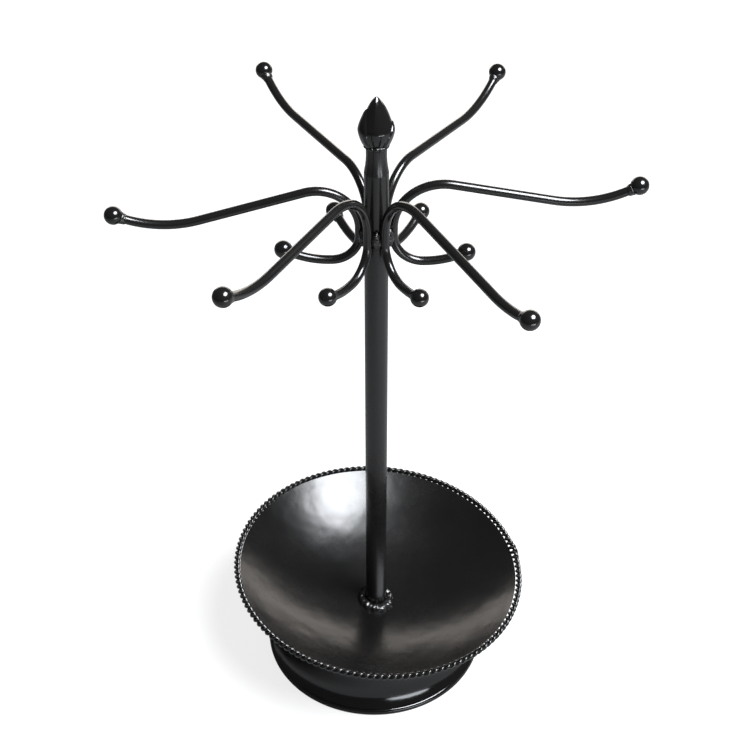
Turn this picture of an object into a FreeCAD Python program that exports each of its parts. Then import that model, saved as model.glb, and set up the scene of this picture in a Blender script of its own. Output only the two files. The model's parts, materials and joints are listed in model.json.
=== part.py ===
import FreeCAD, Part

import math
import os

import Sketcher

# Mug tree of black painted steel: six bent rods with ball ends on a tube, a dish and a drum foot.
# Millimetres and degrees, +Z up. The origin is under the post, on the surface the tree stands on.
# The front is -Y. +X points along the right-hand arm.

DIMENSIONS = {
    # upright
    "post_radius": 8.0,
    "tube_wall": 1.5,
    "post_top": 434.0,
    "post_stub": 4.0,
    "neck_radius": 7.0,
    "neck_top": 453.5,
    "neck_hollow": 60.0,
    # bent rods and their balls
    "rod_radius": 3.0,
    "ball_radius": 6.0,
    "ball_socket": 4.0,
    "hub_height": 390.0,
    "hub_half": 3.0,
    "tail_radius": 76.0,
    "toe_radius": 60.0,
    "bead_reach": 2.2,
    "bead_swell": 1.0,
    # weld between neighbouring rods
    "web_corner": 8.8,
    "web_round": 9.5,
    "web_above": 4.0,
    "web_below": 8.0,
    "root_gap": 1.1,
    # finial
    "spigot_radius": 5.0,
    "spigot_length": 12.0,
    "belly_radius": 10.7,
    "belly_height": 463.5,
    "belly_round": 10.0,
    "bud_round": 36.0,
    "tip_radius": 1.6,
    "tip_height": 486.3,
    "leaf_thickness": 0.7,
    "leaf_tip": 479.0,
    "leaf_bow": 13.2,
    "leaf_count": 3,
    "leaf_turn": 30.0,
    "seam_radius": 1.5,
    "seam_sink": 0.6,
    # dish and its rope edge
    "dish_height": 39.0,
    "dish_shift": 0.9,
    "dish_hole": 9.4,
    "dish_edge": 108.9,
    "dish_sphere": 168.0,
    "dish_lean": 4.0,
    "sheet": 1.2,
    "rope_circle": 111.5,
    "rope_radius": 2.5,
    "foot_bead_circle": 11.3,
    "foot_bead_radius": 4.3,
    # drum foot
    "plate_top": 37.0,
    "foot_sheet": 1.5,
    "foot_shift": 1.5,
    "shoulder_radius": 6.0,
    "waist_radius": 76.0,
    "waist_height": 27.0,
    "cove_radius": 32.0,
    "lip_radius": 3.0,
    "lip_circle": 83.4,
    "lip_height": 2.75,
    "lip_flat": 1.2,
    "lip_seat": 0.75,
    "lip_top": 5.65,
    "base_bead_circle": 9.0,
    "base_bead_radius": 3.2,
}

# The six rods are bent to one pattern, a sixth of a turn apart: the crown's radius, how far the run
# droops below level, the run's length, how far the tail turns up, the hook's radius and how far the toe
# turns up.
ARM_SPREAD = 60.0
ARM_PATTERN = {"crown": 32.0, "droop": 6.0, "run": 72.0, "tail": 38.0, "hook": 20.0, "toe": 26.0}

# Hand bending leaves each rod a little off the pattern: how far it swings out of its place, then the
# differences in the pattern's order.
ARMS = {
    "right": (0, 0, 4, -7, 3, 0, 0),
    "back_right": (-1, -1, -1, -1, 2, 0, 0),
    "back_left": (-1, -3, -4, 5, -2, 0, 0),
    "left": (3, -4, 9, -2, 2, -2, 4),
    "front_left": (0, 6, -3, -2, -3, 0, 2),
    "front_right": (0, 4, 0, 10, -12, 1, -6),
}
for place, (arm, (swing, *bends)) in enumerate(ARMS.items()):
    DIMENSIONS[f"{arm}_azimuth"] = ARM_SPREAD * place + swing
    for (bend, usual), extra in zip(ARM_PATTERN.items(), bends):
        DIMENSIONS[f"{arm}_{bend}"] = usual + extra

SHEET_NAME = "dims"
PARTS_FOLDER = "parts"
Z_AXIS = FreeCAD.Vector(0, 0, 1)

doc = FreeCAD.newDocument("mug_tree")


def make_sheet():
    """Writes every driving dimension into the spreadsheet, one aliased cell to a row."""
    sheet = doc.addObject("Spreadsheet::Sheet", SHEET_NAME)
    for row, (name, value) in enumerate(DIMENSIONS.items(), start=1):
        sheet.set(f"A{row}", name)
        sheet.set(f"B{row}", str(value))
        sheet.setAlias(f"B{row}", name)
    doc.recompute()


def size(total):
    """The value in millimetres of a sum of aliases, such as 'post_radius - tube_wall'."""
    value, sign = 0.0, 1.0
    for word in total.split():
        if word in ("+", "-"):
            sign = 1.0 if word == "+" else -1.0
        else:
            value += sign * DIMENSIONS[word]
            sign = 1.0
    return value


def cells(total):
    """The same sum as an expression that reads the spreadsheet's cells."""
    return " ".join(w if w in ("+", "-") else f"{SHEET_NAME}.{w}" for w in total.split())


def bind(thing, **sums):
    """Binds properties of a document object to sums of cells. A double underscore stands for a dot."""
    for path, total in sums.items():
        thing.setExpression(path.replace("__", "."), cells(total))


def plane_of(body, role):
    """An origin plane or axis of a body, such as XZ_Plane."""
    return next(f for f in body.Origin.OriginFeatures if f.Role == role)


def new_sketch(body, name, role, offset=None):
    """An empty sketch on one of the body's own origin planes, raised by a sum of cells."""
    sketch = body.newObject("Sketcher::SketchObject", name)
    sketch.AttachmentSupport = [(plane_of(body, role), "")]
    sketch.MapMode = "FlatFace"
    if offset:
        sketch.setExpression("AttachmentOffset.Base.z", cells(offset))
    return sketch


def add_bound(sketch, total, kind, *where):
    """Adds a dimension to a sketch and binds it to a sum of cells."""
    value = size(total)
    if kind == "Angle":
        value = math.radians(value)
    index = sketch.addConstraint(Sketcher.Constraint(kind, *where, value))
    unit = " * 1 deg" if kind == "Angle" else ""
    text = f"({cells(total)}){unit}" if unit else cells(total)
    sketch.setExpression(f"Constraints[{index}]", text)


def pin_point(sketch, geometry, end, across, up):
    """Fixes one end of an edge at sums of cells from the sketch's origin. 0 means on the axis."""
    for kind, total, axis in (("DistanceX", across, -2), ("DistanceY", up, -1)):
        if total == "0":
            sketch.addConstraint(Sketcher.Constraint("PointOnObject", geometry, end, axis))
        else:
            add_bound(sketch, total, kind, -1, 1, geometry, end)


def arc_between(start, end, radius, bulge):
    """The short arc from start to end. It lies right of the way from start to end if bulge is +1."""
    chord = end - start
    middle = (start + end) / 2
    right = FreeCAD.Vector(chord.y, -chord.x, 0).normalize() * bulge
    rise = math.sqrt(radius**2 - (chord.Length / 2) ** 2)
    top = middle + right * (radius - rise)
    return Part.Arc(start, top, end)


def draw_outline(sketch, corners):
    """Draws a closed outline. Each corner is (across, up) for a straight edge to the next one,
    or (across, up, radius, bulge) for an arc to it."""
    points = [
        FreeCAD.Vector(0 if c[0] == "0" else size(c[0]), 0 if c[1] == "0" else size(c[1]), 0)
        for c in corners
    ]
    count = len(corners)
    starts, ends = [], []
    for i, corner in enumerate(corners):
        here, there = points[i], points[(i + 1) % count]
        if len(corner) == 2:
            sketch.addGeometry(Part.LineSegment(here, there), False)
            starts.append(1)
            ends.append(2)
            continue
        arc = arc_between(here, there, size(corner[2]), corner[3])
        sketch.addGeometry(arc, False)
        forward = (sketch.getPoint(i, 1) - here).Length < 1e-6
        starts.append(1 if forward else 2)
        ends.append(2 if forward else 1)
    for i in range(count):
        after = (i + 1) % count
        sketch.addConstraint(Sketcher.Constraint("Coincident", i, ends[i], after, starts[after]))
    for i, corner in enumerate(corners):
        pin_point(sketch, i, starts[i], corner[0], corner[1])
        if len(corner) > 2:
            add_bound(sketch, corner[2], "Radius", i)


def turned_body(label, corners):
    """A body turned about Z from one closed outline in the XZ plane."""
    body = doc.addObject("PartDesign::Body", label)
    sketch = new_sketch(body, f"{label}_outline", "XZ_Plane")
    draw_outline(sketch, corners)
    turn = body.newObject("PartDesign::Revolution", f"{label}_turn")
    turn.Profile = sketch
    turn.ReferenceAxis = (sketch, ["V_Axis"])
    turn.Angle = 360
    sketch.Visibility = False
    return body


class Turtle:
    """Walks a bent rod's centre line in the arm's own plane, X outwards and Y up."""

    def __init__(self, x, y, heading):
        self.x, self.y, self.heading = x, y, heading
        self.edges = []

    @property
    def place(self):
        return FreeCAD.Vector(self.x, self.y, 0)

    def ahead(self, length):
        """The point that lies length ahead on the tangent."""
        turn = math.radians(self.heading)
        return self.place + FreeCAD.Vector(math.cos(turn), math.sin(turn), 0) * length

    def straight(self, length):
        start, end = self.place, self.ahead(length)
        self.x, self.y = end.x, end.y
        self.edges.append(Part.LineSegment(start, end))

    def bend(self, radius, sweep):
        """Turns left for a positive sweep and right for a negative one."""
        side = math.copysign(1.0, sweep)
        start = self.place
        turn = math.radians(self.heading)
        centre = start + FreeCAD.Vector(-math.sin(turn), math.cos(turn), 0) * radius * side
        points = []
        for share in (0.5, 1.0):
            angle = math.radians(sweep * share)
            spoke = start - centre
            points.append(
                centre
                + FreeCAD.Vector(
                    spoke.x * math.cos(angle) - spoke.y * math.sin(angle),
                    spoke.x * math.sin(angle) + spoke.y * math.cos(angle),
                    0,
                )
            )
        self.edges.append(Part.Arc(start, points[0], points[1]))
        self.x, self.y = points[1].x, points[1].y
        self.heading += sweep


def upper_walk(arm):
    """From the hub up over the crown, down the run and up the tail to the upper ball."""
    walk = Turtle(size("post_radius + rod_radius"), size("hub_height"), 90)
    walk.straight(size("hub_half"))
    walk.bend(size(f"{arm}_crown"), -(90 + size(f"{arm}_droop")))
    walk.straight(size(f"{arm}_run"))
    walk.bend(size("tail_radius"), size(f"{arm}_tail"))
    return walk


def lower_walk(arm):
    """From the hub down and round the hook to the lower ball."""
    walk = Turtle(size("post_radius + rod_radius"), size("hub_height"), -90)
    walk.straight(size("hub_half"))
    walk.bend(size(f"{arm}_hook"), 90)
    walk.bend(size("toe_radius"), size(f"{arm}_toe"))
    return walk


def join_tangent(sketch, count):
    """Joins consecutive edges of a path so that each leaves along the one before it."""
    for i in range(count - 1):
        meeting = min(
            ((a, b) for a in (1, 2) for b in (1, 2)),
            key=lambda pair: (sketch.getPoint(i, pair[0]) - sketch.getPoint(i + 1, pair[1])).Length,
        )
        sketch.addConstraint(Sketcher.Constraint("Tangent", i, meeting[0], i + 1, meeting[1]))


def draw_walk(sketch, walk):
    """Puts a walk's edges in a sketch, starting on the post's flank at the hub's height."""
    for edge in walk.edges:
        sketch.addGeometry(edge, False)
    join_tangent(sketch, len(walk.edges))
    sketch.addConstraint(Sketcher.Constraint("Vertical", 0))
    pin_point(sketch, 0, 1, "post_radius + rod_radius", "hub_height")
    add_bound(sketch, "hub_half", "Distance", 0)


def sweep_rod(body, section, name, path, edge_count):
    pipe = body.newObject("PartDesign::AdditivePipe", name)
    pipe.Profile = section
    pipe.Spine = (path, [f"Edge{i + 1}" for i in range(edge_count)])
    pipe.Transition = "Transformed"
    return pipe


def make_arm(arm):
    """One rod: it starts at the weld and is swept up to the upper ball and down to the lower one."""
    body = doc.addObject("PartDesign::Body", f"arm_{arm}")
    section = new_sketch(body, f"{arm}_section", "XY_Plane", "hub_height")
    centre = FreeCAD.Vector(size("post_radius + rod_radius"), 0, 0)
    section.addGeometry(Part.Circle(centre, Z_AXIS, size("rod_radius")), False)
    section.addConstraint(Sketcher.Constraint("PointOnObject", 0, 3, -1))
    add_bound(section, "post_radius + rod_radius", "DistanceX", -1, 1, 0, 3)
    add_bound(section, "rod_radius", "Radius", 0)

    upper = new_sketch(body, f"{arm}_upper_path", "XZ_Plane")
    draw_walk(upper, upper_walk(arm))
    add_bound(upper, f"{arm}_crown", "Radius", 1)
    add_bound(upper, f"{arm}_run", "Distance", 2)
    add_bound(upper, "tail_radius", "Radius", 3)
    add_bound(upper, f"{arm}_tail", "Angle", 3)

    lower = new_sketch(body, f"{arm}_lower_path", "XZ_Plane")
    draw_walk(lower, lower_walk(arm))
    add_bound(lower, f"{arm}_hook", "Radius", 1)
    add_bound(lower, "toe_radius", "Radius", 2)
    add_bound(lower, f"{arm}_toe", "Angle", 2)

    sweep_rod(body, section, f"{arm}_upper_rod", upper, 4)
    sweep_rod(body, section, f"{arm}_lower_rod", lower, 3)
    body.Placement = FreeCAD.Placement(FreeCAD.Vector(), Z_AXIS, size(f"{arm}_azimuth"))
    body.setExpression("Placement.Rotation.Angle", f"{cells(f'{arm}_azimuth')} * 1 deg")
    return body


def in_arm_plane(arm, point):
    """A point of an arm's own plane, turned to the arm's azimuth."""
    turn = math.radians(size(f"{arm}_azimuth"))
    return FreeCAD.Vector(point.x * math.cos(turn), point.x * math.sin(turn), point.y)


def make_ball(label, arm, walk, rod):
    """A steel ball with a socket that the rod's end fills."""
    ball = doc.addObject("Part::Sphere", f"{label}_blank")
    bind(ball, Radius="ball_radius")
    centre = walk.ahead(size("ball_radius - ball_socket"))
    ball.Placement.Base = in_arm_plane(arm, centre)
    drilled = doc.addObject("Part::Cut", label)
    drilled.Base, drilled.Tool = ball, rod
    return drilled, ball


def make_ball_bead(label, arm, walk, ball, rod):
    """The ring of weld where a rod enters its ball."""
    cone = doc.addObject("Part::Cone", f"{label}_blank")
    bind(cone, Radius1="rod_radius + bead_swell", Radius2="rod_radius", Height="bead_reach + bead_reach")
    centre = walk.ahead(size("ball_radius - ball_socket"))
    away = (walk.place - walk.ahead(1.0)).normalize()
    foot = centre + away * (size("ball_radius") - size("bead_reach"))
    turned = in_arm_plane(arm, foot + away) - in_arm_plane(arm, foot)
    cone.Placement = FreeCAD.Placement(
        in_arm_plane(arm, foot), FreeCAD.Rotation(Z_AXIS, turned)
    )
    outside = doc.addObject("Part::Cut", f"{label}_outside")
    outside.Base, outside.Tool = cone, ball
    bead = doc.addObject("Part::Cut", label)
    bead.Base, bead.Tool = outside, rod
    return bead


def make_arms():
    """All six rods with twelve balls, and the compound of the balls' weld beads."""
    made, beads, rods = [], [], []
    for arm in ARMS:
        rod = make_arm(arm)
        rods.append(rod)
        made.append(rod)
        for level, walk in (("upper", upper_walk(arm)), ("lower", lower_walk(arm))):
            ball, blank = make_ball(f"ball_{level}_{arm}", arm, walk, rod)
            made.append(ball)
            beads.append(make_ball_bead(f"bead_{level}_{arm}", arm, walk, blank, rod))
    group = doc.addObject("Part::Compound", "ball_weld_beads")
    group.Links = beads
    return made + [group], rods


def at_azimuth(reach, azimuth, height):
    """A point this far from the post's axis, in the direction of an azimuth in degrees."""
    turn = math.radians(azimuth)
    return FreeCAD.Vector(reach * math.cos(turn), reach * math.sin(turn), height)


def make_root_gap(arm):
    """The narrow space along the line where a rod touches the post, which weld doesn't fill."""
    gap = doc.addObject("Part::Cylinder", f"root_gap_{arm}")
    bind(gap, Radius="root_gap", Height="post_top")
    gap.Placement.Base = at_azimuth(size("post_radius"), size(f"{arm}_azimuth"), 0)
    return gap


def make_hub_welds(rods):
    """Webs of weld in the six corners between neighbouring rods and the post.

    A barrel-shaped collar round the post is cut by the rods, which leaves the six webs.
    """
    webs = turned_body(
        "hub_collar",
        [
            ("post_radius", "hub_height - web_below"),
            ("web_corner", "hub_height - web_below", "web_round", 1),
            ("web_corner", "hub_height + web_above"),
            ("post_radius", "hub_height + web_above"),
        ],
    )
    for step, (arm, rod) in enumerate(zip(ARMS, rods), start=1):
        freed = doc.addObject("Part::Cut", f"hub_freed_{step}")
        freed.Base, freed.Tool = webs, make_root_gap(arm)
        last = step == len(rods)
        webs = doc.addObject("Part::Cut", "hub_weld_webs" if last else f"hub_cut_{step}")
        webs.Base, webs.Tool = freed, rod
    return webs


def make_post():
    """The tube. It goes down through the foot's top, and its upper end is drawn in to a neck."""
    return turned_body(
        "post_tube",
        [
            ("post_radius - tube_wall", "plate_top - foot_sheet - post_stub"),
            ("post_radius", "plate_top - foot_sheet - post_stub"),
            ("post_radius", "post_top", "neck_hollow", -1),
            ("neck_radius", "neck_top"),
            ("neck_radius - tube_wall", "neck_top", "neck_hollow", 1),
            ("post_radius - tube_wall", "post_top"),
        ],
    )


def make_finial():
    """A cast bud: a turned core on a neck and spigot, wrapped by pointed leaves."""
    core = turned_body(
        "finial_core",
        [
            ("0", "neck_top - spigot_length"),
            ("spigot_radius", "neck_top - spigot_length"),
            ("spigot_radius", "neck_top"),
            ("neck_radius", "neck_top", "belly_round", 1),
            ("belly_radius", "belly_height", "bud_round", 1),
            ("tip_radius", "tip_height"),
            ("0", "tip_height"),
        ],
    )
    shell = turned_body(
        "leaf_shell",
        [
            ("0", "neck_top"),
            ("neck_radius", "neck_top", "belly_round + leaf_thickness", 1),
            ("belly_radius + leaf_thickness", "belly_height", "bud_round", 1),
            ("tip_radius + leaf_thickness", "tip_height"),
            ("0", "tip_height"),
        ],
    )
    cutter = doc.addObject("PartDesign::Body", "leaf_cutter")
    outline = new_sketch(cutter, "leaf_outline", "XZ_Plane")
    draw_outline(
        outline,
        [("0", "neck_top", "leaf_bow", 1), ("0", "leaf_tip", "leaf_bow", 1)],
    )
    pad = cutter.newObject("PartDesign::Pad", "leaf_pad")
    pad.Profile = outline
    bind(pad, Length="belly_radius + belly_radius")
    doc.recompute()
    pattern = cutter.newObject("PartDesign::PolarPattern", "leaf_pattern")
    pattern.Originals = [pad]
    pattern.Axis = (plane_of(cutter, "Z_Axis"), [""])
    pattern.Angle = 360
    pattern.setExpression("Occurrences", cells("leaf_count"))
    cutter.Tip = pattern
    cutter.Placement = FreeCAD.Placement(FreeCAD.Vector(), Z_AXIS, size("leaf_turn"))
    leaves = doc.addObject("Part::MultiCommon", "finial_leaves")
    leaves.Shapes = [shell, cutter]
    finial = doc.addObject("Part::MultiFuse", "finial_bud")
    finial.Shapes = [core, leaves]
    return finial


def make_finial_seam(finial, post):
    """The weld round the neck, where the bud stands on the tube."""
    roll = doc.addObject("Part::Torus", "finial_seam_roll")
    bind(
        roll,
        Radius1="neck_radius - seam_sink",
        Radius2="seam_radius",
        Placement__Base__z="neck_top",
    )
    bore = doc.addObject("Part::Cylinder", "finial_seam_bore")
    bind(bore, Radius="neck_radius - seam_sink", Height="tip_height")
    seam = roll
    for step, tool in enumerate((bore, post, finial), start=1):
        cut = doc.addObject("Part::Cut", "finial_weld" if step == 3 else f"seam_cut_{step}")
        cut.Base, cut.Tool = seam, tool
        seam = cut
    return seam


def lean_placement(height):
    """The dish's lean about the middle of its bottom: its right-hand side is low."""
    lean = FreeCAD.Rotation(FreeCAD.Vector(0, 1, 0), size("dish_lean"))
    pivot = FreeCAD.Vector(-size("dish_shift"), 0, size("dish_height"))
    return FreeCAD.Placement(
        pivot + lean.multVec(FreeCAD.Vector(0, 0, height - size("dish_height"))), lean
    )


def sphere_height(radius_total, across):
    """How far a sphere's surface has risen above its lowest point, this far from its axis."""
    radius = size(radius_total)
    return radius - math.sqrt(radius**2 - across**2)


def make_dish():
    """A shallow spun bowl: two concentric spheres' caps, open in the middle for the post."""
    body = doc.addObject("PartDesign::Body", "dish")
    sketch = new_sketch(body, "dish_outline", "XZ_Plane")
    hole, edge = size("dish_hole"), size("dish_edge")
    inner_low = FreeCAD.Vector(hole, sphere_height("dish_sphere", hole), 0)
    inner_high = FreeCAD.Vector(edge, sphere_height("dish_sphere", edge), 0)
    drop = -size("sheet")
    outer_low = FreeCAD.Vector(hole, drop + sphere_height("dish_sphere + sheet", hole), 0)
    outer_high = FreeCAD.Vector(edge, drop + sphere_height("dish_sphere + sheet", edge), 0)
    inner = arc_between(inner_low, inner_high, size("dish_sphere"), 1)
    outer = arc_between(outer_low, outer_high, size("dish_sphere + sheet"), 1)
    for edge_shape in (
        inner,
        Part.LineSegment(inner_high, outer_high),
        outer,
        Part.LineSegment(outer_low, inner_low),
    ):
        sketch.addGeometry(edge_shape, False)
    for first, second in ((0, 1), (1, 2), (2, 3), (3, 0)):
        meeting = min(
            ((a, b) for a in (1, 2) for b in (1, 2)),
            key=lambda p: (sketch.getPoint(first, p[0]) - sketch.getPoint(second, p[1])).Length,
        )
        sketch.addConstraint(
            Sketcher.Constraint("Coincident", first, meeting[0], second, meeting[1])
        )
    sketch.addConstraint(Sketcher.Constraint("PointOnObject", 0, 3, -2))
    sketch.addConstraint(Sketcher.Constraint("Coincident", 0, 3, 2, 3))
    sketch.addConstraint(Sketcher.Constraint("Vertical", 1))
    sketch.addConstraint(Sketcher.Constraint("Vertical", 3))
    add_bound(sketch, "dish_sphere", "DistanceY", -1, 1, 0, 3)
    add_bound(sketch, "dish_sphere", "Radius", 0)
    add_bound(sketch, "dish_sphere + sheet", "Radius", 2)
    add_bound(sketch, "dish_edge", "DistanceX", -1, 1, 1, 1)
    add_bound(sketch, "dish_hole", "DistanceX", -1, 1, 3, 1)
    turn = body.newObject("PartDesign::Revolution", "dish_turn")
    turn.Profile = sketch
    turn.ReferenceAxis = (sketch, ["V_Axis"])
    turn.Angle = 360
    body.Placement = lean_placement(size("dish_height"))
    return body


def make_rope():
    """The rope edge's envelope: two wires twisted together fill this round ring."""
    rope = doc.addObject("Part::Torus", "rope_rim")
    bind(rope, Radius1="rope_circle", Radius2="rope_radius")
    rise = sphere_height("dish_sphere", size("dish_edge"))
    rope.Placement = lean_placement(size("dish_height") + rise)
    return rope


def make_foot_weld():
    """The bead that fills the corner between the post and the dish."""
    roll = doc.addObject("Part::Torus", "post_foot_roll")
    bind(roll, Radius1="foot_bead_circle", Radius2="foot_bead_radius")
    roll.Placement.Base.z = size("dish_height")
    hollow = doc.addObject("Part::Sphere", "dish_hollow")
    bind(hollow, Radius="dish_sphere")
    hollow.Placement = lean_placement(size("dish_height + dish_sphere"))
    above = doc.addObject("Part::MultiCommon", "post_foot_above_dish")
    above.Shapes = [roll, hollow]
    core = doc.addObject("Part::Cylinder", "post_foot_core")
    bind(core, Radius="post_radius", Height="post_top")
    weld = doc.addObject("Part::Cut", "post_foot_weld")
    weld.Base, weld.Tool = above, core
    return weld


def set_aside(body):
    """Moves a turned body of the foot off the post's axis, where the foot really sits."""
    body.Placement.Base.x = -size("foot_shift")
    body.setExpression("Placement.Base.x", f"-{cells('foot_shift')}")


def make_drum():
    """A pressed steel foot, open underneath: flat top, rounded shoulder and coved wall."""
    shell = turned_body(
        "drum_shell",
        [
            ("0", "plate_top"),
            ("waist_radius - shoulder_radius", "plate_top", "shoulder_radius", -1),
            ("waist_radius", "plate_top - shoulder_radius"),
            ("waist_radius", "waist_height", "cove_radius", 1),
            ("lip_circle + lip_seat", "lip_top"),
            ("lip_circle - lip_seat", "lip_top", "cove_radius + foot_sheet", -1),
            ("waist_radius - foot_sheet", "waist_height"),
            (
                "waist_radius - foot_sheet",
                "plate_top - shoulder_radius",
                "shoulder_radius - foot_sheet",
                1,
            ),
            ("waist_radius - shoulder_radius", "plate_top - foot_sheet"),
            ("0", "plate_top - foot_sheet"),
        ],
    )
    set_aside(shell)
    post_hole = doc.addObject("Part::Cylinder", "post_hole")
    bind(post_hole, Radius="post_radius", Height="post_top")
    drum = doc.addObject("Part::Cut", "base_drum")
    drum.Base, drum.Tool = shell, post_hole
    return drum


def make_lip():
    """The ring along the foot's lower edge. The wall stands on its narrow upper flat."""
    lip = turned_body(
        "base_lip_ring",
        [
            ("lip_circle - lip_flat", "0"),
            ("lip_circle + lip_flat", "0", "lip_radius", 1),
            ("lip_circle + lip_radius", "lip_height", "lip_radius", 1),
            ("lip_circle + lip_seat", "lip_top"),
            ("lip_circle - lip_seat", "lip_top", "lip_radius", 1),
            ("lip_circle - lip_radius", "lip_height", "lip_radius", 1),
        ],
    )
    set_aside(lip)
    return lip


def make_base_weld():
    """The bead under the foot's top, round the stub of the post."""
    roll = doc.addObject("Part::Torus", "base_weld_roll")
    bind(
        roll,
        Radius1="base_bead_circle",
        Radius2="base_bead_radius",
        Placement__Base__z="plate_top - foot_sheet",
    )
    below = doc.addObject("Part::Cylinder", "base_weld_limit")
    bind(below, Radius="waist_radius", Height="plate_top - foot_sheet")
    limited = doc.addObject("Part::MultiCommon", "base_weld_limited")
    limited.Shapes = [roll, below]
    stub = doc.addObject("Part::Cylinder", "base_weld_core")
    bind(stub, Radius="post_radius", Height="post_top")
    weld = doc.addObject("Part::Cut", "base_weld")
    weld.Base, weld.Tool = limited, stub
    return weld


def fault_of(thing):
    """Why a sub-part can't be written, or an empty string."""
    shape = thing.Shape
    if shape.isNull():
        return "has no shape"
    if not shape.isValid():
        return "is not valid"
    if not shape.Solids or shape.Volume <= 0:
        return "has no solid"
    return ""


def write_parts(things):
    """Checks the whole document, then writes each sub-part's solids to its own STEP file."""
    doc.recompute()
    failed = [o.Label for o in doc.Objects if {"Invalid", "Error"} & set(o.State)]
    faults = [f"{t.Label} {fault_of(t)}" for t in things if fault_of(t)]
    if failed or faults:
        raise SystemExit(f"failed: {failed}; faults: {faults}")
    os.makedirs(PARTS_FOLDER, exist_ok=True)
    for thing in things:
        thing.Shape.exportStep(os.path.join(PARTS_FOLDER, f"{thing.Label}.step"))
        print(f"{thing.Label}: {len(thing.Shape.Solids)} solid(s), {thing.Shape.Volume:.0f} mm3")


def main():
    make_sheet()
    arm_parts, rods = make_arms()
    finial = make_finial()
    post = make_post()
    things = [
        post,
        finial,
        make_finial_seam(finial, post),
        *arm_parts,
        make_hub_welds(rods),
        make_dish(),
        make_rope(),
        make_foot_weld(),
        make_drum(),
        make_lip(),
        make_base_weld(),
    ]
    write_parts(things)


main()
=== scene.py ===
import json
import math

import bmesh
import bpy
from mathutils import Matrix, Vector


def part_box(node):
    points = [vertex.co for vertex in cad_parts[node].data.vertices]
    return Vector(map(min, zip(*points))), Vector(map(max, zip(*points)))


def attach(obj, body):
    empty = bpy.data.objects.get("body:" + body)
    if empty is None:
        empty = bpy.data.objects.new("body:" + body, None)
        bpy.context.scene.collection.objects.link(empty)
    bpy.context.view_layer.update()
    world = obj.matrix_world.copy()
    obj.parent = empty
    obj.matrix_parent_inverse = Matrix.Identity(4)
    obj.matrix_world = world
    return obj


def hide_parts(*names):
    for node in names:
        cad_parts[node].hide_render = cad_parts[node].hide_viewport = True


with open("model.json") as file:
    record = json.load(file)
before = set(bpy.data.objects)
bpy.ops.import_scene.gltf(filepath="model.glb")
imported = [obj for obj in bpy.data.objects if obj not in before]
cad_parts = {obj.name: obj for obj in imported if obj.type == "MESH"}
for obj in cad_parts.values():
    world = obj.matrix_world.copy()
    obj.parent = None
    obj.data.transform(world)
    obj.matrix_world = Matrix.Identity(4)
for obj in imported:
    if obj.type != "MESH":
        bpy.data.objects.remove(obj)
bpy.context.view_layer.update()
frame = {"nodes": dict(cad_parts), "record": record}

# %% [markdown]
# # A mug tree in black lacquer
# The real object is bent steel rod, tube and sheet, welded together and painted black. Most of its
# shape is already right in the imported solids, so those stay and only get their paint. Blender adds
# what a solid can't hold: the twisted wires of the dish's edge, the lumpy weld at the joints, the
# petals of the bud, and the skin of lacquer over everything. A piece that Blender makes hides the
# plain solid it stands for, and takes its place from the solids too.

# %% Sizes that every later cell uses
MM = 0.001
BODY = "root"


def middle_of(node):
    """The centre of a node's box."""
    low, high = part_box(node)
    return (Vector(low) + Vector(high)) / 2


def span_of(node):
    """The three side lengths of a node's box."""
    low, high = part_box(node)
    return Vector(high) - Vector(low)


def top_of(node):
    """The height of a node's highest point."""
    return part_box(node)[1][2]


def add_object(name, data):
    """A new object in the scene, unmoved."""
    thing = bpy.data.objects.new(name, data)
    bpy.context.scene.collection.objects.link(thing)
    return thing


print("nodes:", len(frame["nodes"]), " height, mm:", round(top_of("finial_bud") / MM, 1))

# %% [markdown]
# ## Wires between nodes
# A node tree is easier to read as arithmetic. `Wire` wraps one output socket, and a sum or product of
# wires adds the Math nodes for it. Every other kind of node comes from `Graph.add`, which sets the
# node's own settings before its sockets, because some settings change which sockets there are.


# %% Wire and Graph
class Wire:
    """An output socket that can be used in arithmetic."""

    def __init__(self, graph, socket):
        self.graph = graph
        self.socket = socket

    def maths(self, operation, first, second=None):
        """One Math node, with one value or two."""
        values = {0: first} if second is None else {0: first, 1: second}
        return self.graph.add("ShaderNodeMath", {"operation": operation}, values)

    def out(self, name):
        """Another output of the same node."""
        return Wire(self.graph, self.socket.node.outputs[name])

    def __add__(self, other):
        return self.maths("ADD", self, other)

    __radd__ = __add__

    def __mul__(self, other):
        return self.maths("MULTIPLY", self, other)

    __rmul__ = __mul__

    def __sub__(self, other):
        return self.maths("SUBTRACT", self, other)

    def __rsub__(self, other):
        return self.maths("SUBTRACT", other, self)

    def sine(self):
        return self.maths("SINE", self)

    def cosine(self):
        return self.maths("COSINE", self)

    def power(self, exponent):
        return self.maths("POWER", self, exponent)


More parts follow.
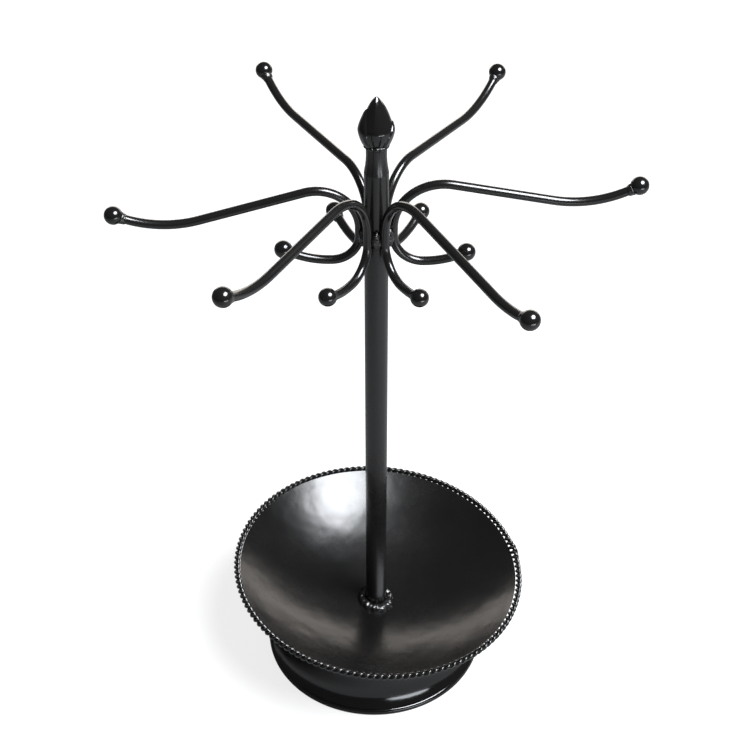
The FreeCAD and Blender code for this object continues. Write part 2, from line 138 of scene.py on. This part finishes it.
class Graph:
    """Adds nodes to a shader or geometry tree."""

    def __init__(self, tree):
        self.tree = tree

    def add(self, kind, settings=None, sockets=None, output=0):
        """One node. A socket is given a wire or a plain value, by its name or number."""
        node = self.tree.nodes.new(kind)
        for name, value in (settings or {}).items():
            setattr(node, name, value)
        for key, value in (sockets or {}).items():
            if isinstance(value, Wire):
                self.tree.links.new(value.socket, node.inputs[key])
            else:
                node.inputs[key].default_value = value
        return Wire(self, node.outputs[output]) if node.outputs else None

    def ramp(self, value, stops):
        """A colour ramp. Each stop is (position, grey level)."""
        wire = self.add("ShaderNodeValToRGB", None, {0: value})
        band = wire.socket.node.color_ramp
        while len(band.elements) < len(stops):
            band.elements.new(1.0)
        for element, (position, grey) in zip(band.elements, stops):
            element.position = position
            element.color = (grey, grey, grey, 1)
        return wire

    def noise(self, place, scale, detail=3.0, rough=0.55):
        """Smooth noise from 0 to 1. A higher scale makes finer lumps."""
        values = {"Vector": place, "Scale": scale, "Detail": detail, "Roughness": rough}
        return self.add("ShaderNodeTexNoise", None, values)

    def blend(self, share, first, second):
        """Mixes two colours by a grey share."""
        settings = {"data_type": "RGBA"}
        return self.add("ShaderNodeMix", settings, {0: share, 6: first, 7: second}, output=2)


print("wires ready")

# %% [markdown]
# ## Black lacquer
# Sprayed lacquer isn't one flat black. It pulls into a faint orange peel as it dries, its gloss comes
# and goes where it lies thin or thick, a little dust settles in it, and it looks warmer where it is
# thin. A painted image could show that, but it would need unwrapping and would blur close up, so noise
# on Object coordinates makes it. One function paints all of it, and each finish gives its own amounts,
# some with a pattern of the metal below.

# %% The lacquer function
CLOUD_SCALE = 24.0
PEEL_SCALE = 420.0
GRIT_SCALE = 1900.0
DUST_SCALE = 700.0
DUST_STOPS = [(0.66, 0.0), (0.74, 1.0)]
WARM_TINT = (1.35, 1.18, 1.05)
COOL_TINT = (0.72, 0.76, 0.84)
DUST_PALER_BY = (0.04, 0.036, 0.03)
GRIT_DULLS_BY = 0.06
DUST_DULLS_BY = 0.3
DUST_HEIGHT = 0.02 * MM
PAINT_IOR = 1.5
COAT_ROUGHNESS = 0.08


def lacquer(name, black, gloss, peel, grit, dust, metal_below=None, coat=0.1):
    """Black paint: gloss is (shiniest, dullest) roughness, and peel and grit are heights in metres."""
    material = bpy.data.materials.new(name)
    material.use_nodes = True
    graph = Graph(material.node_tree)
    graph.tree.nodes.clear()
    place = graph.add("ShaderNodeTexCoord").out("Object")

    clouds = graph.noise(place, CLOUD_SCALE, 4.0)
    fine = graph.noise(place, PEEL_SCALE, 2.0)
    grains = graph.noise(place, GRIT_SCALE, 3.0, 0.7)
    specks = graph.ramp(graph.noise(place, DUST_SCALE, 4.0, 0.75), DUST_STOPS)

    warm = tuple(black * tint for tint in WARM_TINT) + (1,)
    cool = tuple(black * tint for tint in COOL_TINT) + (1,)
    dusty = tuple(black + paler for paler in DUST_PALER_BY) + (1,)
    colour = graph.blend(clouds, cool, warm)
    colour = graph.blend(specks * dust, colour, dusty)

    shiniest, dullest = gloss
    roughness = shiniest + (dullest - shiniest) * clouds
    roughness = roughness + grains * GRIT_DULLS_BY + specks * (dust * DUST_DULLS_BY)
    height = fine * peel + grains * grit + specks * (dust * DUST_HEIGHT)
    if metal_below:
        height = height + metal_below(graph, place)
    heights = {"Strength": 1.0, "Distance": 1.0, "Height": height}
    paint = graph.add(
        "ShaderNodeBsdfPrincipled",
        None,
        {
            "Base Color": colour,
            "Roughness": roughness,
            "IOR": PAINT_IOR,
            "Coat Weight": coat,
            "Coat Roughness": COAT_ROUGHNESS,
            "Normal": graph.add("ShaderNodeBump", None, heights),
        },
    )
    graph.add("ShaderNodeOutputMaterial", None, {"Surface": paint})
    return material


print("lacquer function ready")

# %% [markdown]
# ## The metal under the paint
# Spun sheet keeps the fine rings of the forming tool, centred on its own axis, so the dish's rings lean
# with the dish. Drawn tube keeps lines along its length, which are noise stretched along Z. Sheet that
# is finished by hand also has slow waves, which smear a reflection, and weld and castings have a rough
# skin. Each pattern is a height in metres for the Bump node, because it is too shallow to be worth its
# faces in a mesh.

# %% Metal patterns
DISH_LEAN = math.radians(4.0)
DISH_AXIS = middle_of("dish")
RING_SCALE = 950.0
RING_DEPTH = 0.006 * MM
DISH_SWELL = {"scale": 32.0, "deep": 0.9 * MM}
DISH_DIMPLES = {"scale": 110.0, "deep": 0.08 * MM}
FOOT_SWELL = {"scale": 38.0, "deep": 0.25 * MM}
LINE_SCALE = 900.0
LINE_STRETCH = (1.0, 1.0, 0.03)
LINE_DEPTH = 0.008 * MM
WELD_SKIN = {"scale": 380.0, "detail": 4.0, "rough": 0.7}
WELD_SKIN_DEPTH = 0.35 * MM
CAST_SKIN = {"scale": 220.0, "detail": 4.0, "rough": 0.6}
CAST_SKIN_DEPTH = 0.12 * MM


def spun_rings(graph, place, centre, lean, deep):
    """Fine rings about a leaning axis through centre."""
    values = {"Vector": place, "Location": tuple(centre), "Rotation": (0, lean, 0)}
    turned = graph.add("ShaderNodeMapping", {"vector_type": "TEXTURE"}, values)
    axes = graph.add("ShaderNodeSeparateXYZ", None, {0: turned})
    radius = (axes * axes + axes.out("Y") * axes.out("Y")).power(0.5)
    line = graph.add("ShaderNodeCombineXYZ", None, {0: radius, 1: 0.0, 2: 0.0})
    return graph.noise(line, RING_SCALE) * deep


def waves(graph, place, scale, deep):
    """The slow unevenness of hand-finished sheet, which smears a reflection."""
    return graph.noise(place, scale, detail=2.0, rough=0.4) * deep


def dish_sheet(graph, place):
    """Spun rings on large and small waves."""
    rings = spun_rings(graph, place, DISH_AXIS, DISH_LEAN, RING_DEPTH)
    return rings + waves(graph, place, **DISH_SWELL) + waves(graph, place, **DISH_DIMPLES)


def foot_sheet(graph, place):
    """Waves only, because the foot shows no rings."""
    return waves(graph, place, **FOOT_SWELL)


def drawn_lines(graph, place):
    """Lines along the height of a tube."""
    stretched = graph.add("ShaderNodeMapping", None, {"Vector": place, "Scale": LINE_STRETCH})
    return graph.noise(stretched, LINE_SCALE, detail=2.0) * LINE_DEPTH


def weld_skin(graph, place):
    """Ripples and spatter that are finer than the weld's mesh."""
    return graph.noise(place, **WELD_SKIN) * WELD_SKIN_DEPTH


def cast_skin(graph, place):
    """The dimples that a sand mould leaves."""
    return graph.noise(place, **CAST_SKIN) * CAST_SKIN_DEPTH


print("patterns: dish sheet, foot sheet, drawn lines, weld skin, cast skin")

# %% [markdown]
# ## Painting the solids
# Colours could be put on the solids one by one, but the record already names a slot for each finish.
# So there is one material for each slot, and a solid gets the material of its own slot. A repaint of a
# finish then changes every piece that has it.

# %% One material for each slot
FINISH_PLANS = {
    "rod_lacquer": {
        "black": 0.004, "gloss": (0.1, 0.24), "peel": 0.012 * MM, "grit": 0.004 * MM, "dust": 0.35,
    },
    "ball_lacquer": {
        "black": 0.0035, "gloss": (0.09, 0.16), "peel": 0.006 * MM, "grit": 0.001 * MM, "dust": 0.2,
    },
    "post_lacquer": {
        "black": 0.004, "gloss": (0.14, 0.32), "peel": 0.01 * MM, "grit": 0.004 * MM, "dust": 0.35,
        "metal_below": drawn_lines,
    },
    "finial_lacquer": {
        "black": 0.0035, "gloss": (0.06, 0.15), "peel": 0.01 * MM, "grit": 0.002 * MM, "dust": 0.25,
        "metal_below": cast_skin,
    },
    "weld_lacquer": {
        "black": 0.006, "gloss": (0.05, 0.16), "peel": 0.02 * MM, "grit": 0.004 * MM, "dust": 0.6,
        "metal_below": weld_skin,
    },
    "dish_lacquer": {
        "black": 0.003, "gloss": (0.17, 0.3), "peel": 0.004 * MM, "grit": 0.001 * MM, "dust": 0.15,
        "metal_below": dish_sheet, "coat": 0.0,
    },
    "rope_lacquer": {
        "black": 0.0035, "gloss": (0.08, 0.2), "peel": 0.01 * MM, "grit": 0.004 * MM, "dust": 0.5,
    },
    "foot_lacquer": {
        "black": 0.003, "gloss": (0.05, 0.13), "peel": 0.008 * MM, "grit": 0.001 * MM, "dust": 0.15,
        "metal_below": foot_sheet,
    },
}
FINISHES = {name: lacquer(name, **plan) for name, plan in FINISH_PLANS.items()}
SLOT_OF = {part["node"]: part["material_slot"] for part in frame["record"]["subparts"]}
for node, solid in frame["nodes"].items():
    for slot in solid.material_slots:
        slot.material = FINISHES[SLOT_OF[node]]
print("painted", len(SLOT_OF), "solids in", len(FINISHES), "finishes")

# %% [markdown]
# ## Geometry Nodes for what repeats
# The twisted edge and the weld's ripples repeat by a rule, so node trees make them. An Array modifier
# repeats too, but its copies are all alike, and these swell and lean as they go. The helpers below give
# a tree named inputs, set each one by its socket's identifier, run the tree on an empty mesh or on a
# given one, and keep only the finished mesh.


# %% Tree helpers
def start_tree(name, inputs):
    """A geometry tree with float inputs. Returns its graph and a dictionary of input wires."""
    tree = bpy.data.node_groups.new(name, "GeometryNodeTree")
    for way in ("INPUT", "OUTPUT"):
        tree.interface.new_socket("Geometry", in_out=way, socket_type="NodeSocketGeometry")
    for label, value in inputs.items():
        socket = tree.interface.new_socket(label, in_out="INPUT", socket_type="NodeSocketFloat")
        socket.default_value = value
    graph = Graph(tree)
    entry = graph.add("NodeGroupInput")
    return graph, {label: entry.out(label) for label in ("Geometry", *inputs)}


def finish_tree(graph, geometry, material):
    """Ends a tree in realised, smooth-shaded, painted geometry."""
    smooth = graph.add("GeometryNodeSetShadeSmooth", None, {"Geometry": geometry})
    real = graph.add("GeometryNodeRealizeInstances", None, {"Geometry": smooth})
    values = {"Geometry": real, "Material": material}
    painted = graph.add("GeometryNodeSetMaterial", None, values)
    graph.add("NodeGroupOutput", None, {0: painted})


def grow(name, graph, values, node, blank=None):
    """Runs a tree on a blank mesh, or an empty one, and keeps the result in place of a node."""
    holder = add_object(name + "_holder", blank or bpy.data.meshes.new(name + "_blank"))
    modifier = holder.modifiers.new("grow", "NODES")
    modifier.node_group = graph.tree
    for item in graph.tree.interface.items_tree:
        if item.in_out == "INPUT" and item.name in values:
            modifier[item.identifier] = values[item.name]
    seen = holder.evaluated_get(bpy.context.evaluated_depsgraph_get())
    mesh = bpy.data.meshes.new_from_object(seen)
    bpy.data.objects.remove(holder)
    mesh.name = name
    piece = add_object(name, mesh)
    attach(piece, BODY)
    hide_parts(node)
    print(name, "faces:", len(mesh.polygons))


print("tree helpers ready")

# %% [markdown]
# ## The rope edge
# Two soft steel wires are twisted together and bent into a ring round the dish's edge. A strand is a
# helix wound on the ring's centre line: as the angle round the ring grows, the offset from that line
# turns many times. A short twist could be copied along a curve, but a formula closes the ring exactly
# and keeps both strands the same curve, half a turn apart. Where the two ends of the rope meet, the
# strands spread a little, so a bump widens the twist there.

# %% One strand of rope
ROPE_TURNS = 68.0
ROPE_STEPS = 1360
STRAND_SIDES = 10
JOINT_AT = math.radians(12.0)
JOINT_NARROWNESS = 900.0
JOINT_SWELL = 0.9


def circle(graph, radius, steps):
    """A closed curve: a path to follow, or the section of a tube."""
    values = {"Resolution": steps, "Radius": radius}
    return graph.add("GeometryNodeCurvePrimitiveCircle", {"mode": "RADIUS"}, values)


def point_at(graph, x, y, z):
    """A position made of three values or wires."""
    return graph.add("ShaderNodeCombineXYZ", None, {0: x, 1: y, 2: z})


def strand(graph, sizes, phase):
    """One wire of the rope, as a tube along a helix on the ring."""
    ring = circle(graph, 1.0, ROPE_STEPS)
    share = graph.add("GeometryNodeSplineParameter")
    angle = share * math.tau
    twist = share * (math.tau * ROPE_TURNS) + phase
    near_joint = (angle - JOINT_AT).cosine() * 0.5 + 0.5
    bulge = near_joint.power(JOINT_NARROWNESS) * JOINT_SWELL + 1.0
    reach = twist.cosine() * sizes["Twist Radius"] * bulge + sizes["Ring Radius"]
    rise = twist.sine() * sizes["Twist Radius"] * bulge
    spot = point_at(graph, angle.cosine() * reach, angle.sine() * reach, rise)
    helix = graph.add("GeometryNodeSetPosition", None, {"Geometry": ring, "Position": spot})
    section = circle(graph, sizes["Wire Radius"], STRAND_SIDES)
    values = {"Curve": helix, "Profile Curve": section}
    return graph.add("GeometryNodeCurveToMesh", None, values)


print("rope turns:", ROPE_TURNS, " steps per turn:", ROPE_STEPS / ROPE_TURNS)

# %% Rope edge
ROPE_WIDTH = 5.0 * MM
ROPE_SIZES = {
    "Ring Radius": (span_of("rope_rim").y - ROPE_WIDTH) / 2,
    "Twist Radius": ROPE_WIDTH * 0.245,
    "Wire Radius": ROPE_WIDTH * 0.255,
}


def set_down(graph, geometry, place, turn):
    """Turns geometry that is made about the origin, then moves it to its place."""
    values = {"Geometry": geometry, "Translation": tuple(place), "Rotation": turn}
    return graph.add("GeometryNodeTransform", None, values)


rope_graph, rope_inputs = start_tree("rope_edge", ROPE_SIZES)
pair = rope_graph.add("GeometryNodeJoinGeometry")
for phase in (0.0, math.pi):
    wire = strand(rope_graph, rope_inputs, phase)
    rope_graph.tree.links.new(wire.socket, pair.socket.node.inputs[0])
leaned = set_down(rope_graph, pair, middle_of("rope_rim"), (0.0, DISH_LEAN, 0.0))
finish_tree(rope_graph, leaned, FINISHES["rope_lacquer"])
grow("rope_edge", rope_graph, ROPE_SIZES, "rope_rim")

# %% [markdown]
# ## Rough weld
# A weld bead is laid in small overlapping puddles, so it has ripples along its length and lumps where
# the hand paused. A smooth ring can't show that, and sculpting each bead by hand would be slow. The tree
# winds a tube round a circle, swells it at each puddle, and pushes its skin in and out with noise. The
# same tree makes the bead at the post's foot, the collar under the bud and the hidden bead in the foot,
# each with its own sizes.

# %% Bead tree
BEAD_STEPS = 220
BEAD_SIDES = 20
BEAD_LUMP_SCALE = 420.0
PUDDLE_SWELL = 0.09
LUMP_NOISE = {"detail": 3.0, "rough": 0.6}


def roughen(graph, geometry, scale, height, sunk=0.5):
    """Pushes a skin along its normals by noise. The noise goes inwards where it is less than sunk."""
    here = graph.add("GeometryNodeInputPosition")
    outward = graph.add("GeometryNodeInputNormal")
    lumps = graph.noise(here, scale, **LUMP_NOISE) - sunk
    values = {0: outward, "Scale": lumps * height}
    push = graph.add("ShaderNodeVectorMath", {"operation": "SCALE"}, values)
    return graph.add("GeometryNodeSetPosition", None, {"Geometry": geometry, "Offset": push})


def bead_tree(name, sizes, place, lean):
    """A lumpy ring. Returns the graph, ready to grow."""
    graph, entry = start_tree(name, sizes)
    ring = circle(graph, entry["Ring Radius"], BEAD_STEPS)
    share = graph.add("GeometryNodeSplineParameter")
    puddle = (share * entry["Puddles"] * math.tau).sine() * PUDDLE_SWELL + 1.0
    section = circle(graph, entry["Bead Radius"], BEAD_SIDES)
    values = {"Curve": ring, "Profile Curve": section, "Scale": puddle}
    tube = graph.add("GeometryNodeCurveToMesh", None, values)
    lumpy = roughen(graph, tube, entry["Lump Scale"], entry["Lump Height"])
    placed = set_down(graph, lumpy, place, (0.0, lean, 0.0))
    finish_tree(graph, placed, FINISHES["weld_lacquer"])
    return graph


print("bead tree ready")


# %% Bead rings
def lay_bead(name, node, height, ring, bead, puddles, lump=0.55, lean=0.0):
    """One bead round the post, in place of a node. lump is the lumps' height as a share of bead."""
    sizes = {
        "Ring Radius": ring,
        "Bead Radius": bead,
        "Puddles": float(puddles),
        "Lump Scale": BEAD_LUMP_SCALE,
        "Lump Height": bead * lump,
    }
    middle = middle_of(node)
    graph = bead_tree(name, sizes, (middle.x, middle.y, height), lean)
    grow(name, graph, sizes, node)


FOOT_BEAD_BELOW_TOP = 3.4 * MM
lay_bead(
    "post_foot_bead",
    "post_foot_weld",
    height=top_of("post_foot_weld") - FOOT_BEAD_BELOW_TOP,
    ring=10.9 * MM,
    bead=3.5 * MM,
    puddles=11,
    lump=1.15,
    lean=DISH_LEAN,
)
lay_bead(
    "bud_collar",
    "finial_weld",
    height=middle_of("finial_weld").z,
    ring=6.9 * MM,
    bead=1.35 * MM,
    puddles=15,
    lump=0.8,
)
BASE_BEAD_BELOW_TOP = 1.4 * MM
lay_bead(
    "base_bead",
    "base_weld",
    height=top_of("base_weld") - BASE_BEAD_BELOW_TOP,
    ring=9.2 * MM,
    bead=2.6 * MM,
    puddles=17,
)

# %% [markdown]
# ## Weld at the hub
# The six rods touch the post side by side, and weld fills the grooves between neighbours. Each filling
# is a round lump, stretched upwards. Six could be made by hand, but instancing one ball on the points
# of a hexagon keeps them evenly spaced. The noise comes after the instances are made real, so that it
# reads each lump's own place and no two are alike.

# %% Lumps of weld at the hub
HUB_CORNERS = 6
FIRST_CORNER = math.radians(30.0)
LUMP_SHAPE = (3.5 * MM, 3.4 * MM, 6.8 * MM)
LUMP_FINENESS = 5
HUB_SIZES = {"Circle Radius": 9.3 * MM, "Lump Scale": 330.0, "Lump Height": 2.2 * MM}

hub_graph, hub = start_tree("hub_lumps", HUB_SIZES)
hexagon = {"Vertices": HUB_CORNERS, "Radius": hub["Circle Radius"]}
corners = hub_graph.add("GeometryNodeMeshCircle", None, hexagon)
unit_ball = {"Radius": 1.0, "Subdivisions": LUMP_FINENESS}
ball = hub_graph.add("GeometryNodeMeshIcoSphere", None, unit_ball)
angle = hub_graph.add("GeometryNodeInputIndex") * (math.tau / HUB_CORNERS)
facing = point_at(hub_graph, 0.0, 0.0, angle)
copies = {"Points": corners, "Instance": ball, "Rotation": facing, "Scale": LUMP_SHAPE}
lumps = hub_graph.add("GeometryNodeInstanceOnPoints", None, copies)
real_lumps = hub_graph.add("GeometryNodeRealizeInstances", None, {"Geometry": lumps})
rough = roughen(hub_graph, real_lumps, hub["Lump Scale"], hub["Lump Height"])
hub_height = middle_of("hub_weld_webs").z
placed = set_down(hub_graph, rough, (0.0, 0.0, hub_height), (0.0, 0.0, FIRST_CORNER))
finish_tree(hub_graph, placed, FINISHES["weld_lacquer"])
grow("hub_lumps", hub_graph, HUB_SIZES, "hub_weld_webs")

# %% [markdown]
# ## Weld at the balls' necks
# Each ball is welded to its rod by a short collar of weld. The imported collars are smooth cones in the
# right places, so there is no need to work those out again. A copy of their mesh is the blank here: the
# tree joins its split edges, cuts each face in four and pushes the skin about. The solid's own mesh is
# left as it is.

# %% Ball necks
NECK_SIZES = {"Lump Scale": 520.0, "Lump Height": 1.5 * MM}
NECK_SUNK = 0.35
JOIN_WITHIN = 0.01 * MM
NECK_CUTS = 1

neck_graph, neck = start_tree("neck_welds", NECK_SIZES)
loose = {"Geometry": neck["Geometry"], "Distance": JOIN_WITHIN}
merged = neck_graph.add("GeometryNodeMergeByDistance", None, loose)
fine_cut = neck_graph.add("GeometryNodeSubdivideMesh", None, {"Mesh": merged, "Level": NECK_CUTS})
rough = roughen(neck_graph, fine_cut, neck["Lump Scale"], neck["Lump Height"], NECK_SUNK)
finish_tree(neck_graph, rough, FINISHES["weld_lacquer"])
collars = frame["nodes"]["ball_weld_beads"].data.copy()
print("collars: faces", len(collars.polygons))
grow("neck_welds", neck_graph, NECK_SIZES, "ball_weld_beads", blank=collars)

# %% [markdown]
# ## The bud
# The finial is a cast rosebud. Its core is round at the foot and turns into three soft ridges at the
# point, and four petals of different lengths lie against it. It could be sculpted, but a petal's edge is
# only a small step in radius, so one formula gives the whole skin: a smooth profile, plus the thickness
# of whichever petal covers that spot. A dense grid of rings is fine enough for the steps to stay crisp.

# %% Bud profile
BUD_RADIUS = 11.2 * MM
BUD_FOOT = 7.2 * MM
WIDEST_AT = 0.35
FOOT_ROUNDNESS = 1.7
POINT_SLENDERNESS = 1.35
POINT_ROUNDNESS = 0.7
RIDGE_AT = math.radians(-97.0)
RIDGES_START = 0.3
RIDGES_TAKE = 0.5
RIDGE_DEPTH = 0.3


def eased(value):
    """Smoothly from 0 to 1 as value goes from 0 to 1."""
    value = min(max(value, 0.0), 1.0)
    return value * value * (3 - 2 * value)


def bud_profile(rise):
    """The core's radius at a share of its height."""
    if rise < WIDEST_AT:
        below = (WIDEST_AT - rise) / WIDEST_AT
        return BUD_RADIUS - (BUD_RADIUS - BUD_FOOT) * below**FOOT_ROUNDNESS
    above = (rise - WIDEST_AT) / (1 - WIDEST_AT)
    return BUD_RADIUS * (1 - above**POINT_SLENDERNESS) ** POINT_ROUNDNESS


def ridge_share(angle, rise):
    """How much three flats between three ridges narrow the core towards its point."""
    third = math.tau / 3
    off_ridge = abs((angle - RIDGE_AT + third / 2) % third - third / 2)
    flat = math.cos(third / 2) / math.cos(third / 2 - off_ridge)
    return 1 - RIDGE_DEPTH * eased((rise - RIDGES_START) / RIDGES_TAKE) * (1 - flat)


print("bud radius, mm: foot", round(bud_profile(0) / MM, 1), " widest", round(BUD_RADIUS / MM, 1))

# %% Petals
PETAL_EDGE = 0.45 * MM
PETAL_TAPER = 2.4
PETAL_TIP = 0.7
# Where a petal points, how wide it opens to each side, how high it reaches, and its thickness.
PETALS = (
    (math.radians(187), math.radians(56), 0.76, 1.05 * MM),
    (math.radians(4), math.radians(58), 0.5, 0.85 * MM),
    (math.radians(66), math.radians(48), 0.68, 0.6 * MM),
    (math.radians(124), math.radians(46), 0.62, 0.75 * MM),
)


def petal_cover(angle, rise, radius):
    """How far the outermost petal stands off the core at a spot."""
    most = 0.0
    for facing, opening, reach, thick in PETALS:
        if rise >= reach:
            continue
        width = opening * (1 - (rise / reach) ** PETAL_TAPER) ** PETAL_TIP
        away = abs((angle - facing + math.pi) % math.tau - math.pi)
        inside = (width - away) * radius / PETAL_EDGE
        most = max(most, thick * eased(inside))
    return most


print("petals:", len(PETALS))

# %% Bud mesh
BUD_RINGS = 110
BUD_SIDES = 176
CORE_INSET = 0.5 * MM
PETALS_START_OVER = 0.08


def bud_spot(angle, rise, bottom, top):
    """The point of the skin at an angle and a share of the height."""
    core = (bud_profile(rise) - CORE_INSET) * ridge_share(angle, rise)
    radius = core + petal_cover(angle, rise, core) * eased(rise / PETALS_START_OVER)
    return (radius * math.cos(angle), radius * math.sin(angle), bottom + (top - bottom) * rise)


def make_bud(bottom, top):
    """Rings of points from bottom to top, closed by one flat face and a point."""
    shape = bmesh.new()
    turns = [math.tau * side / BUD_SIDES for side in range(BUD_SIDES)]
    rises = [ring / BUD_RINGS for ring in range(BUD_RINGS)]
    rows = [
        [shape.verts.new(bud_spot(angle, rise, bottom, top)) for angle in turns] for rise in rises
    ]
    for lower, upper in zip(rows, rows[1:]):
        for side in range(BUD_SIDES):
            after = (side + 1) % BUD_SIDES
            shape.faces.new((lower[side], lower[after], upper[after], upper[side]))
    point = shape.verts.new((0, 0, top))
    for side in range(BUD_SIDES):
        shape.faces.new((rows[-1][side], rows[-1][(side + 1) % BUD_SIDES], point))
    shape.faces.new(list(reversed(rows[0])))
    mesh = bpy.data.meshes.new("rosebud")
    shape.to_mesh(mesh)
    shape.free()
    mesh.shade_smooth()
    return mesh


BUD_SINKS = 1.0 * MM
bud = add_object("rosebud", make_bud(top_of("post_tube") - BUD_SINKS, top_of("finial_bud")))
bud.data.materials.append(FINISHES["finial_lacquer"])
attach(bud, BODY)
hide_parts("finial_bud")
print("rosebud faces:", len(bud.data.polygons))

# %% [markdown]
# ## The ground
# Black lacquer is a mirror for whatever stands round it, so a pale floor would turn it grey. A Light
# Path node tells a ray from the camera from one that comes off the object. The camera sees a nearly
# white floor and air, and the lacquer sees much darker ones. The Standard view keeps the whites white
# and the blacks black, where the default one would grey both.

# %% Floor
FLOOR_HALF = 6.0
FLOOR_GREY = 0.24
FLOOR_LIFT = 0.8
WHITE = (1, 1, 1, 1)


def floor_paint():
    """Grey chalk that glows only for the camera."""
    pale = bpy.data.materials.new("pale_floor")
    pale.use_nodes = True
    graph = Graph(pale.node_tree)
    graph.tree.nodes.clear()
    grey = {"Color": (FLOOR_GREY, FLOOR_GREY, FLOOR_GREY, 1)}
    chalk = graph.add("ShaderNodeBsdfDiffuse", None, grey)
    glow = graph.add("ShaderNodeEmission", None, {"Color": WHITE, "Strength": FLOOR_LIFT})
    lifted = graph.add("ShaderNodeAddShader", None, {0: chalk, 1: glow})
    seen = graph.add("ShaderNodeLightPath").out("Is Camera Ray")
    both = graph.add("ShaderNodeMixShader", None, {0: seen, 1: chalk, 2: lifted})
    graph.add("ShaderNodeOutputMaterial", None, {"Surface": both})
    return pale


floor_mesh = bpy.data.meshes.new("floor")
square = ((-1, -1), (1, -1), (1, 1), (-1, 1))
floor_corners = [(x * FLOOR_HALF, y * FLOOR_HALF, 0.0) for x, y in square]
floor_mesh.from_pydata(floor_corners, [], [(0, 1, 2, 3)])
floor_mesh.materials.append(floor_paint())
floor = add_object("floor", floor_mesh)
print("floor, m across:", FLOOR_HALF * 2)

# %% Air
AIR_GLOW = 0.12
AIR_LIFT = 0.8
AIR_TINT = (0.95, 0.97, 1.0, 1)
world = bpy.data.worlds.new("studio")
world.use_nodes = True
world.node_tree.nodes.clear()
air = Graph(world.node_tree)
strength = air.add("ShaderNodeLightPath").out("Is Camera Ray") * AIR_LIFT + AIR_GLOW
dome = air.add("ShaderNodeBackground", None, {"Color": AIR_TINT, "Strength": strength})
air.add("ShaderNodeOutputWorld", None, {"Surface": dome})
bpy.context.scene.world = world
bpy.context.scene.view_settings.view_transform = "Standard"
print("air: glow", AIR_GLOW, " added for the camera", AIR_LIFT)

# %% [markdown]
# ## The lights
# A smooth black surface shows lights rather than shading, so each light is placed for the reflection
# that it gives. The key light, above and to the right of the front, is the small round glint on each
# ball and the white glow at the back of the dish. A wide, thin light, low at the front and to the right,
# is the streak on the foot. A long warm light behind is the glow across the front of the dish. They are
# area lights, because their size and shape show in the lacquer, and a point of light shows only a dot.

# %% Lights
TARGET = Vector((0.0, 0.0, 0.25))


def softbox(name, direction, distance, width, height, watts, tint):
    """An oval light that faces the middle of the tree from a direction."""
    data = bpy.data.lights.new(name, "AREA")
    data.shape = "ELLIPSE"
    data.size = width
    data.size_y = height
    data.energy = watts
    data.color = tint
    away = Vector(direction).normalized()
    lamp = add_object(name, data)
    lamp.location = TARGET + away * distance
    lamp.rotation_euler = away.to_track_quat("Z", "Y").to_euler()


softbox(
    "key_box",
    direction=(0.47, -0.29, 0.86),
    distance=1.8,
    width=1.25,
    height=1.0,
    watts=115,
    tint=(0.93, 0.96, 1.0),
)
softbox(
    "low_box",
    direction=(0.66, -1.04, -0.13),
    distance=1.31,
    width=0.95,
    height=0.18,
    watts=4.4,
    tint=(0.9, 0.95, 1.0),
)
softbox(
    "rear_box",
    direction=(0.08, 1.0, 0.09),
    distance=2.2,
    width=3.8,
    height=0.9,
    watts=26,
    tint=(1.0, 0.93, 0.86),
)
print("lights:", [light.name for light in bpy.data.lights])

# %% [markdown]
# ## The camera
# The tree is seen from the front and from above, so that the dish opens out and the back arms show
# over the front ones. A camera could be given a Track To constraint, but a fixed place and one tilt say
# the same with less. The lens is a little long, which keeps the perspective mild.

# %% Camera
CAMERA_PLACE = (-0.0009, -0.743, 0.863)
CAMERA_DOWN = math.radians(38.56)
camera_data = bpy.data.cameras.new("camera")
camera_data.sensor_width = 36.0
camera_data.lens = 64.85
camera = add_object("camera", camera_data)
camera.location = CAMERA_PLACE
camera.rotation_euler = (math.pi / 2 - CAMERA_DOWN, 0.0, 0.0)
bpy.context.scene.camera = camera
print("camera looks down", round(math.degrees(CAMERA_DOWN), 2), "degrees")
